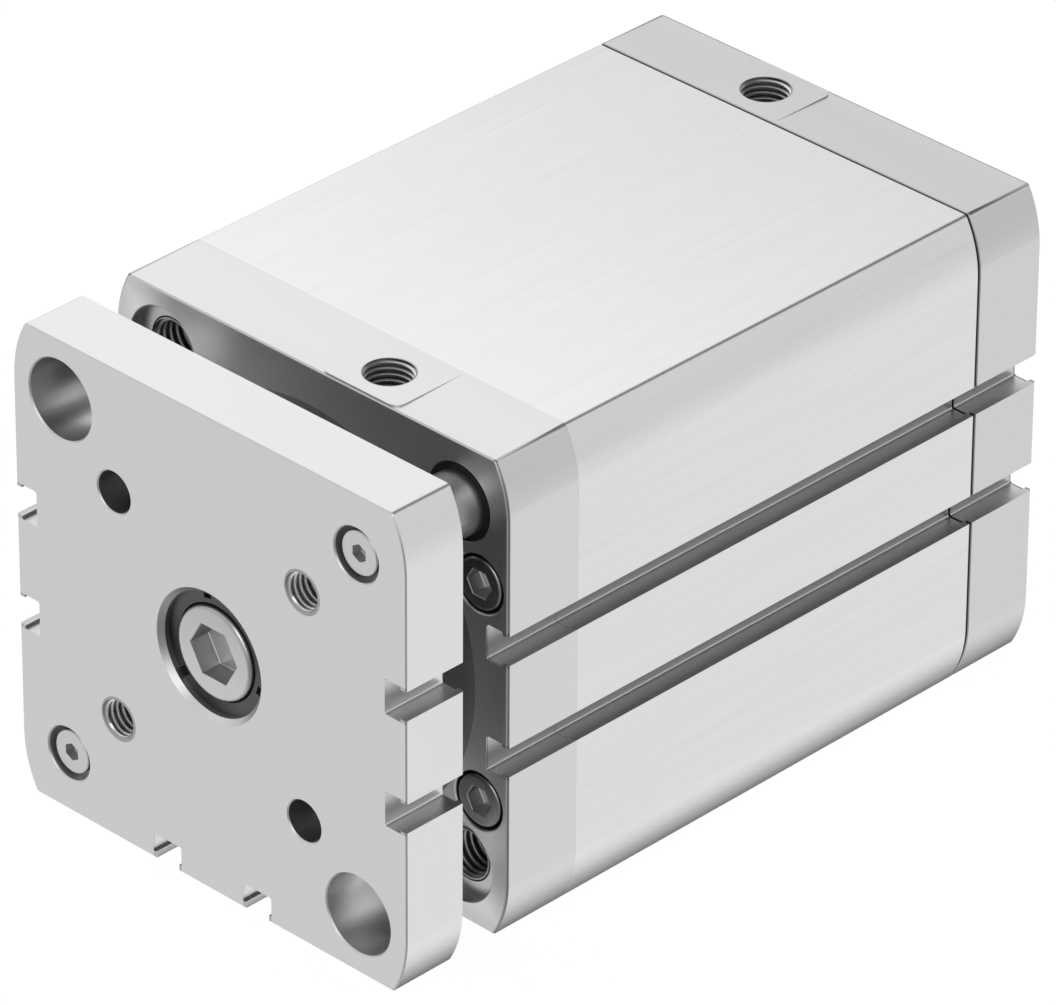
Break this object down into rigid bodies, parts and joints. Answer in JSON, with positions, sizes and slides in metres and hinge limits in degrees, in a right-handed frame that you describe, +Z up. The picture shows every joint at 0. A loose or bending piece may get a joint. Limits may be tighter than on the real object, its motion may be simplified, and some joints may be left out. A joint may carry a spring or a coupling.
{
  "type": "compact pneumatic cylinder",
  "caption": "Compact guided pneumatic cylinder: square extruded barrel with sensor slots, screwed end caps, and a front yoke plate on a piston rod and guide rods.",
  "frame": {"origin": "centre of the rear mounting face, at the mouth of its centring bore", "axes": "+Y along the cylinder from the yoke plate to the rear face, +Z up through the ports, +X to the right when looking at the yoke plate from the front"},
  "size_m": [0.0954, 0.1583, 0.0954],
  "materials": {
    "barrel_aluminium": "anodised, fine brushing along the barrel",
    "cap_aluminium": "anodised, matt",
    "yoke_aluminium": "anodised, satin",
    "piston_aluminium": "machined",
    "ground_steel": "ground and hard chromed",
    "zinc_steel": "bright zinc",
    "black_steel": "black oxide",
    "bearing_bronze": "sintered bronze",
    "seal_rubber": "matt",
    "gasket_rubber": "matt",
    "bearing_plastic": "matt",
    "buffer_plastic": "matt",
    "magnet_ferrite": "matt"
  },
  "bodies": {
    "housing": {"barrel": "barrel_aluminium", "bearing_cap": "cap_aluminium", "end_cap": "cap_aluminium", "seam_gasket": "gasket_rubber", "front_cap_screws": "black_steel", "rear_cap_screws": "black_steel", "front_o_ring": "seal_rubber", "rear_o_ring": "seal_rubber", "rod_bearing": "bearing_bronze", "rod_seal": "seal_rubber", "rod_wiper": "seal_rubber", "guide_bush_upper": "bearing_bronze", "guide_bush_lower": "bearing_bronze", "guide_wiper_upper": "seal_rubber", "guide_wiper_lower": "seal_rubber"},
    "rod_assembly": {"yoke_plate": "yoke_aluminium", "yoke_screw": "zinc_steel", "yoke_ring": "black_steel", "piston_rod": "ground_steel", "guide_rod_upper": "ground_steel", "guide_rod_lower": "ground_steel", "guide_screws": "zinc_steel", "piston_front_half": "piston_aluminium", "piston_rear_half": "piston_aluminium", "piston_magnet": "magnet_ferrite", "piston_wear_ring": "bearing_plastic", "piston_seal_front": "seal_rubber", "piston_seal_rear": "seal_rubber", "piston_o_ring": "seal_rubber", "buffer_front": "buffer_plastic", "buffer_rear": "buffer_plastic", "piston_nut": "zinc_steel"}
  },
  "joints": [
    {"name": "rod_slide", "type": "slide", "parent": "housing", "child": "rod_assembly", "axis": [0, -1, 0], "range_m": [0, 0.08]}
  ]
}
